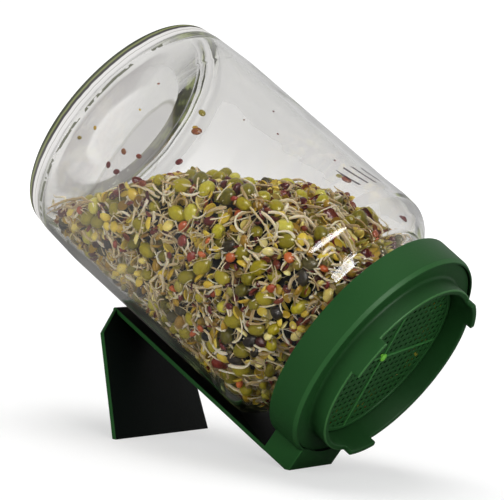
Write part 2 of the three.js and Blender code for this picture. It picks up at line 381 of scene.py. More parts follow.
class Nodes:
    """A node tree with short ways to add to it."""

    def __init__(self, tree):
        self.tree = tree

    def add(self, kind, inputs=None, **settings):
        node = self.tree.nodes.new("ShaderNode" + kind)
        for key, value in settings.items():
            setattr(node, key, value)
        for key, value in (inputs or {}).items():
            if isinstance(value, bpy.types.NodeSocket):
                self.tree.links.new(value, node.inputs[key])
            else:
                node.inputs[key].default_value = value
        return node

    def math(self, operation, *values):
        return self.add("Math", dict(enumerate(values)), operation=operation).outputs[0]

    def product(self, first, *others):
        for other in others:
            first = self.math("MULTIPLY", first, other)
        return first

    def vector(self, operation, *values, out="Vector"):
        return self.add("VectorMath", dict(enumerate(values)), operation=operation).outputs[out]

    def dot(self, first, second):
        return self.vector("DOT_PRODUCT", first, second, out="Value")

    def noise(self, place, scale, detail):
        return self.add("TexNoise", {"Vector": place, "Scale": scale, "Detail": detail}).outputs["Fac"]

    def span(self, value, start, end, low=0, high=1, **settings):
        """A level that goes from low to high as a value goes from start to end."""
        inputs = {"Value": value, "From Min": start, "From Max": end, "To Min": low, "To Max": high}
        return self.add("MapRange", inputs, **settings).outputs["Result"]

    def ramp(self, factor, stops):
        node = self.add("ValToRGB", {"Fac": factor})
        elements = node.color_ramp.elements
        while len(elements) < len(stops):
            elements.new(0.5)
        for element, (place, colour) in zip(elements, stops):
            element.position = place
            element.color = light(colour)
        return node.outputs["Color"]


class Look(Nodes):
    """A material with its Principled shader, and the place on the surface that its patterns go by."""

    def __init__(self, name, **sockets):
        self.material = bpy.data.materials.new(name)
        self.material.use_nodes = True
        super().__init__(self.material.node_tree)
        self.shader = self.tree.nodes["Principled BSDF"]
        self.place = self.add("TexCoord").outputs["Object"]
        for socket, value in sockets.items():
            self.shader.inputs[socket.replace("_", " ")].default_value = value

    def link(self, socket, name):
        self.tree.links.new(socket, self.shader.inputs[name])

    def mix(self, below, above, factor):
        return self.add("MixShader", {0: factor, 1: below.outputs[0], 2: above.outputs[0]})

    def paint(self, below, colour, factor):
        """Light of one colour over a shader, as far as the factor says."""
        if not isinstance(colour, bpy.types.NodeSocket):
            colour = light(colour)
        return self.mix(below, self.add("Emission", {"Color": colour}), factor)


# Plastic

def grain_group():
    """Fine moulded grain for plastic: a slightly uneven roughness and a normal."""
    tree = bpy.data.node_groups.new("moulded grain", "ShaderNodeTree")
    face = tree.interface
    for label, value in (("Scale", 900), ("Depth", 0.1), ("Roughness", 0.4), ("Spread", 0.1)):
        face.new_socket(label, in_out="INPUT", socket_type="NodeSocketFloat").default_value = value
    face.new_socket("Roughness", in_out="OUTPUT", socket_type="NodeSocketFloat")
    face.new_socket("Normal", in_out="OUTPUT", socket_type="NodeSocketVector")
    given = tree.nodes.new("NodeGroupInput").outputs
    out = tree.nodes.new("NodeGroupOutput").inputs
    nodes = Nodes(tree)
    place = nodes.add("TexCoord").outputs["Object"]
    grain = nodes.noise(place, given["Scale"], 3)
    wear = nodes.noise(place, 60, 4)
    bump = nodes.add("Bump", {"Height": grain, "Strength": given["Depth"], "Distance": 0.0004})
    uneven = nodes.math("MULTIPLY_ADD", wear, given["Spread"], given["Roughness"])
    tree.links.new(uneven, out["Roughness"])
    tree.links.new(bump.outputs["Normal"], out["Normal"])
    return tree


def plastic(name, dark, pale, rough, reach=0.014, gloss=0.18):
    """Moulded plastic with painted shade: darker where it lies deep between other pieces, within a reach in
    metres.
    """
    look = Look(name, IOR=1.48, Specular_IOR_Level=gloss)
    colour = look.ramp(look.noise(look.place, 25, 3), ((0.3, dark), (0.7, pale)))
    # Painted shade: ambient occlusion darkens the colour in corners, creases and between parts.
    open_part = look.add("AmbientOcclusion", {"Distance": reach}, samples=6).outputs["AO"]
    painted_shade = look.ramp(open_part, ((0.08, 0.12), (0.55, 1)))
    shades = {"Factor": 1, "A": colour, "B": painted_shade}
    deep = look.add("Mix", shades, data_type="RGBA", blend_type="MULTIPLY")
    look.link(deep.outputs["Result"], "Base Color")
    grain = look.add("Group", {"Roughness": rough, "Spread": 0.12, "Depth": 0.12}, node_tree=GRAIN)
    for socket in ("Roughness", "Normal"):
        look.link(grain.outputs[socket], socket)
    return look.material


# Glass

class GlassLook(Look):
    """Clear glass with soft waves, and the places on the jar that its painted light goes by."""

    def __init__(self):
        super().__init__(
            "clear glass", Roughness=0, IOR=1.5, Transmission_Weight=1, Base_Color=(0.955, 0.95, 0.94, 1)
        )
        ripple = self.noise(self.place, 28, 2.5)
        waves = self.add("Bump", {"Height": ripple, "Strength": 0.14, "Distance": 0.002})
        self.link(waves.outputs["Normal"], "Normal")
        self.path = self.add("LightPath").outputs
        self.near_face = self.math("LESS_THAN", self.path["Transmission Depth"], 0.5)

        axis = Vector((math.cos(TILT), 0, -math.sin(TILT)))
        up = Vector((math.sin(TILT), 0, math.cos(TILT)))
        start = JAR_PLACE @ Vector((BASE_X, 0, 0))
        offset = self.vector("SUBTRACT", self.place, start)
        along = self.dot(offset, axis)
        on_axis = self.add("VectorMath", {0: axis, "Scale": along}, operation="SCALE").outputs["Vector"]
        self.from_axis = self.vector("DISTANCE", offset, on_axis, out="Value")
        self.height = self.dot(offset, up)
        self.side = self.add("SeparateXYZ", {"Vector": self.place}).outputs["Y"]

        # From the base in millimetres, a little uneven
        beads = self.noise(self.place, 240, 2)
        self.from_base = self.math("MULTIPLY_ADD", along, 1 / MM, self.math("MULTIPLY", beads, 0.5))
        self.cloud = self.noise(self.place, 45, 2)
        self.patchy = self.span(self.cloud, 0.35, 0.65)

    def within(self, value, middle, half):
        """One where a value is less than a half width from the middle, and else nothing."""
        off = self.math("ABSOLUTE", self.math("SUBTRACT", value, middle))
        return self.math("LESS_THAN", off, half)


def heel_bands(glass, below):
    """Olive, dark and white bands round the thick heel, painted light as bottle glass shows it."""
    band = glass.math("DIVIDE", glass.from_base, HEEL_BAND)
    colour = glass.ramp(band, (
        (0, (34, 42, 18)), (0.3, (46, 56, 24)), (0.34, (136, 142, 88)), (0.4, (120, 128, 78)),
        (0.44, (44, 40, 42)), (0.53, (52, 48, 50)), (0.57, (246, 244, 242)), (0.7, (246, 244, 242)),
        (0.73, (150, 146, 140)), (0.76, (246, 244, 242)),
    ))
    strength = glass.ramp(band, ((0, 0.95), (0.53, 0.95), (0.58, 0.85), (0.9, 0.7), (1, 0)))
    outer = glass.math("GREATER_THAN", glass.from_axis, HEEL_R * MM)
    return glass.paint(below, colour, glass.product(strength, outer, glass.near_face))


def painted_heel_dashes(glass, below):
    """Short olive dashes inside the heel, on its near side: painted refraction seen in the thick glass."""
    low, high = (mark - BASE_X + 0.25 for mark in HEEL_MARKS)
    in_line = glass.within(glass.from_base, (low + high) / 2, (high - low) * 0.34)
    broken = glass.math("GREATER_THAN", glass.noise(glass.place, 230, 1), 0.5)
    near = glass.math("LESS_THAN", glass.side, -18 * MM)
    dashes = glass.product(in_line, broken, near, glass.near_face, 0.85)
    return glass.paint(below, (70, 74, 46), dashes)


def base_disc(glass, below):
    """Painted light in the base disc: its near half grey, a white line, then pale, and a grey oval in its far
    half.
    """
    radius = glass.math("DIVIDE", glass.from_axis, DISC_R * MM)
    radius = glass.math("ADD", radius, glass.math("MULTIPLY", glass.patchy, 0.05))
    rings = glass.ramp(radius, (
        (0.32, (0.84, 0.82, 0.81, 1)), (0.37, (0.97, 0.96, 0.95, 1)), (0.42, (0.97, 0.96, 0.95, 1)),
        (0.46, OVAL_GREY), (0.78, (0.44, 0.42, 0.42, 1)), (0.83, (0.9, 0.89, 0.88, 1)),
    ))
    in_depth = glass.math("LESS_THAN", glass.from_base, 7)
    on_disc = glass.math("MULTIPLY", glass.math("LESS_THAN", radius, 1), in_depth)
    near_half = glass.span(glass.side, 2 * MM, -10 * MM)
    weak = glass.math("MULTIPLY_ADD", glass.patchy, 0.25, 0.17)
    disc = glass.paint(below, rings, glass.product(on_disc, weak, near_half))

    squares = []
    for place, middle, half in ((glass.side, *OVAL_BESIDE), (glass.height, *OVAL_ABOVE)):
        share = glass.math("DIVIDE", glass.math("SUBTRACT", place, middle * MM), half * MM)
        squares.append(glass.math("MULTIPLY", share, share))
    oval = glass.math("MULTIPLY_ADD", glass.cloud, 0.6, glass.math("ADD", *squares))
    oval = glass.math("MULTIPLY", oval, 0.5)
    tint = glass.ramp(oval, ((0.55, OVAL_GREY), (0.58, (116, 110, 82))))
    weak = glass.ramp(oval, ((0, 0.2), (0.55, 0.2), (0.58, 0.28), (0.6, 0.22), (0.63, 0)))
    return glass.paint(disc, tint, glass.product(weak, on_disc))


def pale_haze(glass, below):
    """A faint pale haze painted onto the near face as a glow, more of it low down and towards the base."""
    low = glass.span(glass.height, 20 * MM, -40 * MM)
    reach = glass.span(glass.from_base, 95, 12)
    haze = glass.math("MULTIPLY_ADD", low, 0.07, 0.06)
    patches = glass.math("MULTIPLY_ADD", glass.patchy, 1, 0.6)
    return glass.paint(below, (0.62, 0.6, 0.57, 1), glass.product(haze, reach, glass.near_face, patches))


def shoulder_strokes(glass, below):
    """Fine dark slanted strokes along the top of the glass, behind its shoulder: painted images of the room
    in the glass.
    """
    slant = glass.math("MULTIPLY", glass.from_base, -0.07)
    across = glass.math("MULTIPLY_ADD", glass.side, 1 / (STROKE_PITCH * MM), slant)
    thin = glass.within(glass.math("FRACT", across), 0.5, 0.13)
    uneven = glass.math("MULTIPLY_ADD", glass.cloud, 20, glass.from_base)
    in_length = glass.within(uneven, 100, 5.5)
    in_width = glass.within(glass.side, -7 * MM, 7.5 * MM)
    on_top = glass.math("GREATER_THAN", glass.height, 0)
    strokes = glass.product(thin, in_length, in_width, glass.near_face, on_top, 0.8)
    return glass.paint(below, (62, 52, 58), strokes)


def clear_glass():
    """Real glass with painted light for what is seen, and clear to light on its way to the sprouts.

    Light that is caught in the thick glass is painted as an olive glow, as in a bottle."""
    glass = GlassLook()
    surface = glass.shader
    for mark in (heel_bands, painted_heel_dashes, base_disc, pale_haze, shoulder_strokes):
        surface = mark(glass, surface)
    streaks = glass.noise(glass.place, 140, 2)
    bottle = glass.ramp(streaks, ((0.42, (34, 34, 24)), (0.52, (66, 72, 34)), (0.62, (138, 146, 96))))
    # Painted light: an olive glow where rays have bounced long inside the glass.
    surface = glass.paint(surface, bottle, glass.math("GREATER_THAN", glass.path["Ray Depth"], 5.5))
    clear = glass.add("BsdfTransparent", {"Color": (0.97, 0.97, 0.965, 1)})
    unseen = glass.math("MAXIMUM", glass.path["Is Shadow Ray"], glass.path["Is Diffuse Ray"])
    surface = glass.mix(surface, clear, unseen)
    glass.tree.links.new(surface.outputs[0], glass.tree.nodes["Material Output"].inputs["Surface"])
    return glass.material


# Sprouts

def sprout_look(name, rough, stops, soft=0.15, coat=0.25, gloss=0.5):
    """Colour goes by each copy's own tone, with fine mottling over it."""
    look = Look(
        name, Roughness=rough, Specular_IOR_Level=gloss, Coat_Weight=coat, Coat_Roughness=0.15,
        Subsurface_Weight=soft, Subsurface_Scale=0.0015, Subsurface_Radius=(1, 0.6, 0.2),
    )
    variety = look.add("Attribute", attribute_name="variety")
    tone = look.add("SeparateColor", {"Color": variety.outputs["Color"]}).outputs["Red"]
    spots = look.noise(look.place, 700, 3)
    shade = look.math("MULTIPLY_ADD", look.math("ADD", spots, -0.5), MOTTLE, tone)
    look.link(look.ramp(shade, stops), "Base Color")
    bump = look.add("Bump", {"Height": spots, "Strength": 0.15, "Distance": 0.0003})
    look.link(bump.outputs["Normal"], "Normal")
    return look.material


GRAIN = grain_group()
GLASS = clear_glass()
GREEN_PLASTIC = plastic("dark green plastic", (27, 66, 30), (31, 73, 33), 0.4)
# Near black: painted shade for the arm's upper face and the leg's inner face.
PAINTED_SHADE_PLASTIC = plastic("painted shade green plastic", (6, 11, 9), (9, 15, 12), 0.5, gloss=0.05)
# Lighter green along the ring's lip: a painted highlight.
LIP_HIGHLIGHT_PLASTIC = plastic("lip highlight green plastic", (36, 78, 38), (43, 87, 44), 0.38)
# Lighter green along the collar's rim: a painted highlight.
RIM_HIGHLIGHT_PLASTIC = plastic("rim highlight green plastic", (50, 94, 50), (60, 106, 58), 0.35)
SIEVE_PLASTIC = plastic("sieve green plastic", (32, 74, 34), (38, 84, 40), 0.4, 0.004)
RIB_PLASTIC = plastic("rib green plastic", (54, 110, 56), (64, 122, 62), 0.35, 0.004)
HUB_PLASTIC = plastic("hub green plastic", (110, 185, 60), (125, 200, 70), 0.35, 0.004)
# Near black: painted shade for the deep gaps in the heap.
HEART = sprout_look("sprouts heart", 0.9, ((0.2, (9, 7, 8)), (0.8, (26, 18, 12))), 0, 0, 0.1)
FINISHES = {
    "mung_beans": sprout_look("mung hull", 0.3, (
        (0, (80, 74, 14)), (0.3, (126, 116, 14)), (0.65, (156, 142, 18)), (0.85, (174, 164, 36)),
        (1, (192, 184, 80)),
    )),
    "dark_beans": sprout_look("dark hull", 0.45, (
        (0, (18, 14, 18)), (0.5, (34, 27, 20)), (1, (80, 72, 26)),
    ), soft=0),
    "split_beans": sprout_look("split bean", 0.4, (
        (0, (140, 104, 24)), (0.35, (184, 152, 34)), (0.7, (214, 188, 66)), (1, (222, 208, 140)),
    )),
    "red_lentils": sprout_look("red lentil", 0.4, (
        (0, (92, 22, 18)), (0.5, (142, 46, 26)), (1, (186, 96, 40)),
    )),
    "bean_hulls": sprout_look("empty hull", 0.35, (
        (0, (48, 14, 16)), (0.4, (96, 24, 26)), (0.65, (120, 60, 30)), (0.8, (120, 108, 34)),
        (1, (150, 138, 60)),
    )),
    "shoots": sprout_look("shoot", 0.35, (
        (0, (150, 126, 80)), (0.5, (196, 176, 136)), (1, (226, 214, 188)),
    ), soft=0.3),
}


# Camera and light

def camera():
    """The photograph's view: a long lens, a little above the ground, turned to the jar's mouth."""
    data = bpy.data.cameras.new("camera")
    data.sensor_width = 36
    data.lens = LENS
    data.clip_end = 50
    eye = put("camera", data)
    right = Vector(EYE_RIGHT).normalized()
    ahead = Vector(EYE_AHEAD)
    ahead = (ahead - right * ahead.dot(right)).normalized()
    place = Matrix((right, right.cross(ahead), -ahead)).transposed().to_4x4()
    place.translation = JAR_PLACE.translation + Vector(EYE_PLACE)
    eye.matrix_world = place
    bpy.context.scene.camera = eye


def softbox(name, place, size, power, shape="RECTANGLE"):
    """A large soft lamp, turned to the object."""
    data = bpy.data.lights.new(name, "AREA")
    data.shape = shape
    data.size, data.size_y = size
    data.energy = power
    lamp = put(name, data)
    lamp.location = place
    lamp.rotation_euler = (Vector(LAMPS_AIM) - Vector(place)).to_track_quat("-Z", "Y").to_euler()
    return lamp


def behind(nodes, direction, front, back):
    """A brightness that goes from front to back of the studio, by a direction from the object."""
    turn = nodes.dot(nodes.vector("NORMALIZE", direction), BACK)
    return nodes.span(turn, 0, 0.5, front, back, interpolation_type="SMOOTHSTEP")


def levels(nodes, mirrored, diffuse, through, direct):
    """Brightness in a reflection, as light on the object, clear through the glass, or straight ahead."""
    path = nodes.add("LightPath").outputs
    unmirrored = nodes.math("LESS_THAN", path["Glossy Depth"], 0.5)
    clear = nodes.math("MULTIPLY", path["Is Transmission Ray"], unmirrored)
    rays = ((clear, through), (path["Is Diffuse Ray"], diffuse), (path["Is Camera Ray"], direct))
    total = mirrored
    for ray, level in rays:
        step = nodes.math("SUBTRACT", level, total)
        total = nodes.math("MULTIPLY_ADD", ray, step, total)
    return total


def surroundings():
    """White round the object, while the glass and the plastic see a dimmer room."""
    world = bpy.data.worlds.new("studio")
    world.use_nodes = True
    nodes = Nodes(world.node_tree)
    towards = nodes.add("TexCoord").outputs["Generated"]
    clouds = nodes.span(nodes.noise(towards, 2.2, 1), 0.35, 0.65, 0.75, 1.25)
    mirrored = behind(nodes, towards, 0.07, 0.52)
    seen = nodes.math("MULTIPLY", levels(nodes, mirrored, 0.3, 0.84, 1.35), clouds)
    sky = nodes.tree.nodes["Background"].inputs
    sky["Color"].default_value = (1, 1, 1, 1)
    nodes.tree.links.new(seen, sky["Strength"])
    bpy.context.scene.world = world
    bpy.context.scene.view_settings.view_transform = "Standard"


def lamps():
    """Soft lamps that light the plastic and the sprouts, and a window that only mirrors in the glass."""
    for name, place, size, power in LAMPS:
        lamp = softbox(name, place, size, power)
        lamp.visible_glossy = lamp.visible_transmission = False
    window = softbox("window", WINDOW_PLACE, (0.95, 0.5), 13, "ELLIPSE")
    window.visible_diffuse = False


def pale_floor():
    """A pale floor with a soft shade under the object, which goes over into the white round it."""
    deselect()
    bpy.ops.mesh.primitive_circle_add(vertices=96, radius=6, fill_type="NGON")
    ground = new_piece("floor")
    look = Look("pale floor", Roughness=0.8, Specular_IOR_Level=0.1, Emission_Color=(1, 1, 1, 1))
    shade = look.span(look.noise(look.place, 8, 3), 0, 1, 0.97, 1)
    own = levels(look, 0.12, 0.55, 0.6, 0.5)
    look.link(look.math("MULTIPLY", shade, own), "Base Color")
    away = look.vector("LENGTH", look.place, out="Value")
    far = look.span(away, 0.25, 1.3, interpolation_type="SMOOTHSTEP")
    near_glow = levels(look, 0, 0, 0.05, 0.52)
    far_glow = levels(look, behind(look, look.place, 0, 0.5), 0, 0.7, 0.97)
    glow = look.add("Mix", {"Factor": far, "A": near_glow, "B": far_glow}, data_type="FLOAT")
    look.link(glow.outputs["Result"], "Emission Strength")
    ground.data.materials.append(look.material)


# Jar

def jar():
    """One closed body of glass: outside from the base to the rim, then inside back to the floor."""
    inner = BODY_R - WALL
    outside = rounded((
        (BASE_X + 1.6, 1, 0), (BASE_X + 1.5, 26, 8), (BASE_X, 37.5, 3), (BASE_X, 43.9, 3.4),
        (-113.5, 44.8, 6), (HEEL_MARKS[0], 45.05, 0), (HEEL_MARKS[1], 45.15, 0),
        (-97, BODY_R, 20), (-30, BODY_R, 20), (-21.5, BODY_R + 0.4, 8), (-14.2, BODY_R, 6),
        (-8.6, 38, 3), (-5, NECK_R, 2), (THREAD_X - 1.6, NECK_R, 0.4),
        (THREAD_X - 0.6, NECK_R + 0.95, 0.5), (THREAD_X + 0.6, NECK_R + 0.95, 0.5),
        (THREAD_X + 1.6, NECK_R, 0.4), (RIM_X, NECK_R, 1.1), (RIM_X, NECK_BORE_R + 1.2, 0),
    ), 8)
    inside = rounded((
        (RIM_X, NECK_BORE_R + 1.2, 0), (RIM_X, NECK_BORE_R, 1.1), (-6.2, NECK_BORE_R, 4),
        (-10.8, 36.6, 4), (-16, inner + 0.2, 5), (-30, inner, 20), (-97, inner, 20),
        (-110.5, inner - 0.3, 8), (FLOOR_X, 41, 6.5), (FLOOR_X, 24, 16),
        (FLOOR_X + 0.6, 1, 0),
    ), 8)
    glass = turned("glass_jar", outside + inside[1:], steps=240)
    smooth(glass, 60)
    finish_piece(glass, GLASS, "jar_glass")


# Stand

def leg():
    """A plate that widens at its shoulders, drawn out edge by edge and then made thick."""
    deselect()
    bpy.ops.mesh.primitive_plane_add(size=2 * ARM_HALF_WIDTH, location=(-ARM_HALF_WIDTH, 0, 0))
    plate = apply_place(new_piece("leg"))
    edit(plate)
    select_where(plate, "EDGE", lambda middle, along: middle.x < -2 * ARM_HALF_WIDTH + 0.1)
    bpy.ops.transform.translate(value=(2 * ARM_HALF_WIDTH - 0.2, 0, 0))
    select_where(plate, "EDGE", lambda middle, along: middle.x > -0.1)
    widths = ((LEG_SHOULDER, LEG_SHOULDER_HALF_WIDTH), (LEG_LENGTH, LEG_FOOT_HALF_WIDTH))
    last_x, last_half = 0, ARM_HALF_WIDTH
    for x, half in widths:
        bpy.ops.mesh.extrude_edges_move(TRANSFORM_OT_translate={"value": (x - last_x, 0, 0)})
        bpy.ops.transform.resize(value=(1, half / last_half, 1), center_override=(x, 0, 0))
        last_x, last_half = x, half
    bpy.ops.mesh.select_all(action="SELECT")
    bpy.ops.mesh.extrude_region_move(TRANSFORM_OT_translate={"value": (0, 0, -PLATE)})
    turn_outwards()
    bpy.ops.mesh.bevel(offset=0.25, segments=2, affect="EDGES")
    leave_edit()
    turn = Matrix.Translation((BEND_X, 0, -ARM_INNER - PLATE / 2)) @ Matrix.Rotation(LEG_ANGLE, 4, "Y")
    plate.matrix_world = turn @ Matrix.Translation((0, 0, PLATE / 2))
    return apply_place(plate)


def stand():
    """Ring, foot block, arm and leg as one moulding, cut flat where it meets the ground.

    The ring's rounded lip has a lighter line, a painted highlight."""
    hoop = turned("stand_moulding", rounded((
        (6, RING_BORE_R, 0), (0, RING_BORE_R, 0.4), (0, RING_R, 0.5),
        (RING_LENGTH - 1.5, LIP_R + 0.5, 1.5), (RING_LENGTH, LIP_R - 0.2, 0.4),
        (RING_LENGTH, LIP_R - 0.9, 0.2), (RING_LENGTH - 2.2, LIP_R - 0.9, 0.2),
        (RING_LENGTH - 2.9, RING_BORE_R, 0.2), (6, RING_BORE_R, 0),
    ), 5)[:-1], closed=True)
    under = -ARM_INNER - PLATE
    foot = block("foot", (0, -ARM_HALF_WIDTH, under), (RING_LENGTH, ARM_HALF_WIDTH, -RING_BORE_R * 0.95), 0.5)
    bore = turned("bore", ((-1, RING_BORE_R + 0.02), (RING_LENGTH + 1, RING_BORE_R + 0.02)))
    foot = combine(foot, bore, "DIFFERENCE")
    arm = block("arm", (BEND_X, -ARM_HALF_WIDTH, under), (1, ARM_HALF_WIDTH, -ARM_INNER), 0.25)
    deselect()
    bpy.ops.mesh.primitive_cylinder_add(vertices=24, radius=PLATE / 2, depth=2 * ARM_HALF_WIDTH - 0.4)
    bend = new_piece("bend")
    apply_place(bend, turn=(math.pi / 2, 0, 0), location=(BEND_X, 0, -ARM_INNER - PLATE / 2))
    for part in (foot, arm, bend, leg()):
        hoop = combine(hoop, part)
    edit(hoop)
    upright = Vector((-math.sin(TILT), 0, math.cos(TILT)))
    bpy.ops.mesh.bisect(plane_co=-AXIS_HEIGHT * upright, plane_no=upright, use_fill=True, clear_inner=True)
    leave_edit()
    smooth(hoop)
    finish_piece(hoop, GREEN_PLASTIC, "stand")
    shade_arm(hoop)

    def on_lip(at, r, lean):
        return at.x > RING_LENGTH - 2.2 and r > LIP_R - 0.75 and 0.25 < lean < 0.93

    tint_faces(hoop, LIP_HIGHLIGHT_PLASTIC, on_lip)


def shade_arm(hoop):
    """The arm's upper face and the leg's inner face lie in deep shade, so they get a near-black finish:
    painted shade.
    """
    arm_up = (JAR_PLACE.to_3x3() @ Vector((0, 0, 1))).normalized()
    leg_in = Matrix.Rotation(LEG_ANGLE, 3, "Y") @ arm_up
    # Painted shade: faces deep under the jar take the near-black finish.
    hoop.data.materials.append(PAINTED_SHADE_PLASTIC)
    for face in hoop.data.polygons:
        facing = max(face.normal.dot(arm_up), face.normal.dot(leg_in))
        under_jar = face.center.x < JAR_PLACE.translation.x and face.center.z < ARM_TOP_HEIGHT * MM
        if facing > 0.995 and under_jar:
            face.material_index = 1


# Lid

def lid():
    """Skirt, face and collar in one, with a lighter line along the collar's rim: a painted highlight."""
    thread_x = THREAD_X + 3.4
    under = SIEVE_FRONT_X - SIEVE_THICKNESS + 0.35
    body = turned("screw_cap", rounded((
        (5, SKIRT_R, 0), (LID_FACE_X - 1.2, SKIRT_R, 0.2), (LID_FACE_X - 1, LIP_R - 1.15, 0.15),
        (LID_FACE_X, LIP_R - 1.15, 0.3), (LID_FACE_X, COLLAR_R, 1.2), (COLLAR_X, COLLAR_R, 0),
        (COLLAR_X, COLLAR_BORE_R, 0), (under, COLLAR_BORE_R, 0.2), (under, SKIRT_BORE_R, 0.3),
        (thread_x + 0.9, SKIRT_BORE_R, 0.3), (thread_x, SKIRT_BORE_R - 0.9, 0.4),
        (thread_x - 0.9, SKIRT_BORE_R, 0.3), (1, SKIRT_BORE_R, 0.3), (1, SKIRT_R, 0.3),
        (5, SKIRT_R, 0),
    ), 5)[:-1], closed=True)
    raise_lugs(body)
    smooth(body)
    finish_piece(body, GREEN_PLASTIC, "screw_lid")

    def on_rim(at, r, lean):
        return at.x > COLLAR_X - 0.6 and r > COLLAR_R - 0.55 and 0.2 < lean < 0.97

    tint_faces(body, RIM_HIGHLIGHT_PLASTIC, on_rim)


def raise_lugs(body):
    """Three teeth drawn up out of the collar's rim, then all of the rim's edges made round."""
    def under_lug(middle, _):
        turn = math.degrees(math.atan2(middle.y, -middle.z)) % 360
        near = min(abs((turn - lug + 180) % 360 - 180) for lug in LUGS)
        on_rim = abs(middle.x - COLLAR_X) < 0.01 and COLLAR_BORE_R < middle.yz.length < COLLAR_R
        return on_rim and near < math.degrees(LUG_WIDTH) / 2

    edit(body)
    select_where(body, "FACE", under_lug)
    bpy.ops.mesh.extrude_region_move(TRANSFORM_OT_translate={"value": (LUG_HEIGHT, 0, 0)})
    bpy.ops.mesh.select_mode(type="EDGE")
    bpy.ops.mesh.select_all(action="DESELECT")
    bpy.ops.mesh.edges_select_sharp(sharpness=math.radians(40))
    select_where(body, "EDGE", lambda middle, along: middle.x > COLLAR_X - 0.01, among=True)
    bpy.ops.mesh.bevel(offset=0.5, segments=3, affect="EDGES")
    leave_edit()


# Sieve

def sieve_plate():
    """One square cell with a round hole whose edges are rounded, copied in rows over the disc."""
    deselect()
    bpy.ops.mesh.primitive_plane_add(size=SIEVE_PITCH)
    plate = new_piece("sieve_disc")
    edit(plate)
    bpy.ops.mesh.select_mode(type="EDGE")
    bpy.ops.mesh.subdivide(number_cuts=3)
    bpy.ops.mesh.select_mode(type="FACE")
    select_where(plate, "FACE", lambda middle, normal: middle.length < SIEVE_PITCH * 0.3)
    bpy.ops.transform.tosphere(value=1)
    size = SIEVE_HOLE_R / (SIEVE_PITCH * 0.25 * 1.1)
    bpy.ops.transform.resize(value=(size * 1.25, size * 1.25, 1))
    bpy.ops.mesh.inset(thickness=0.14)
    bpy.ops.transform.translate(value=(0, 0, -0.1))
    bpy.ops.mesh.extrude_region_move(TRANSFORM_OT_translate={"value": (0, 0, 0.1 - SIEVE_SHEET)})
    bpy.ops.mesh.delete(type="FACE")
    leave_edit()
    rows = math.ceil(2 * SIEVE_R / SIEVE_PITCH)
    for offset in ((SIEVE_PITCH, 0, 0), (0, SIEVE_PITCH, 0)):
        apply_modifier(
            plate, "ARRAY", count=rows, use_relative_offset=False, use_constant_offset=True,
            constant_offset_displace=offset,
        )
    half = -SIEVE_PITCH * (rows - 1) / 2
    apply_place(plate, location=(half, half, 0))
    edit(plate)
    select_where(plate, "FACE", lambda middle, normal: middle.length > SIEVE_R - 0.4)
    bpy.ops.mesh.delete(type="FACE")
    bpy.ops.mesh.select_mode(type="VERT")
    bpy.ops.mesh.select_all(action="SELECT")
    bpy.ops.mesh.remove_doubles(threshold=0.01)
    turn_outwards()
    leave_edit()
    apply_place(plate, turn=(0, 0, SIEVE_LEAN))
    apply_place(plate, turn=(0, math.pi / 2, 0), location=(SIEVE_FRONT_X - 0.1, 0, 0))
    smooth(plate, 45)
    return plate


def sieve():
    """The perforated disc, its clamped flange, a cross of thin ribs and a small hub."""
    plate = sieve_plate()
    rear = SIEVE_FRONT_X - SIEVE_THICKNESS
    rim = turned("sieve_rim", rounded((
        (SIEVE_FRONT_X - 0.5, SIEVE_R, 0), (SIEVE_FRONT_X + 0.35, SIEVE_R, 0.25),
        (SIEVE_FRONT_X + 0.35, FLANGE_BORE_R, 0.25), (rear - 0.85, FLANGE_BORE_R, 0.2),
        (rear - 0.85, FLANGE_R, 0.2), (rear, FLANGE_R, 0.2), (rear, SIEVE_R, 0.1),
        (SIEVE_FRONT_X - 0.5, SIEVE_R, 0),
    ), 3)[:-1], closed=True)
    smooth(rim)
    finish_piece(plate, SIEVE_PLASTIC, "sieve")
    finish_piece(rim, SIEVE_PLASTIC, "sieve")
    for number, degrees in enumerate(RIBS):
        reach = FLANGE_BORE_R + 0.5
        inner, outer = (SIEVE_FRONT_X - 0.3, -0.45, -reach), (SIEVE_FRONT_X + 0.3, 0.45, -1)
        rib = block("sieve_rib_%d" % number, inner, outer, 0.15)
        apply_place(rib, turn=(math.radians(degrees), 0, 0))
        smooth(rib)
        finish_piece(rib, RIB_PLASTIC, "sieve")
    hub = turned("sieve_hub", rounded((
        (SIEVE_FRONT_X - 0.4, 1.5, 0), (SIEVE_FRONT_X + 0.8, 1.5, 0.4),
        (SIEVE_FRONT_X + 0.8, 0.2, 0),
    ), 4))
    smooth(hub)
    finish_piece(hub, HUB_PLASTIC, "sieve")


# Sprouts: the shapes that are copied

def bean(name, size, flat=False, shell=0):
    """A bean with its long side along x. A flat one is split in half; a shell is an empty hull."""
    deselect()
    bpy.ops.mesh.primitive_ico_sphere_add(subdivisions=2, radius=1, rotation=(0.3, 0.2, 0.1))
    seed = new_piece(name)
    apply_place(seed)
    edit(seed)
    bpy.ops.transform.resize(value=size)
    if flat or shell:
        bpy.ops.mesh.bisect(plane_co=(0, 0, 0), plane_no=(0, 0, 1), use_fill=not shell, clear_inner=True)
    if flat:
        select_where(seed, "FACE", lambda middle, normal: normal.z < -0.9)
        bpy.ops.mesh.inset(thickness=0.3)
        bpy.ops.transform.translate(value=(0, 0, 0.25))
    leave_edit()
    if shell:
        apply_modifier(seed, "SOLIDIFY", thickness=shell)
    return seed


def shape_of(seed):
    """The points and faces of a modelled shape, which is then used up."""
    points = np.array([tuple(point.co) for point in seed.data.vertices])
    faces = [tuple(face.vertices) for face in seed.data.polygons]
    bpy.data.objects.remove(seed)
    return points, faces


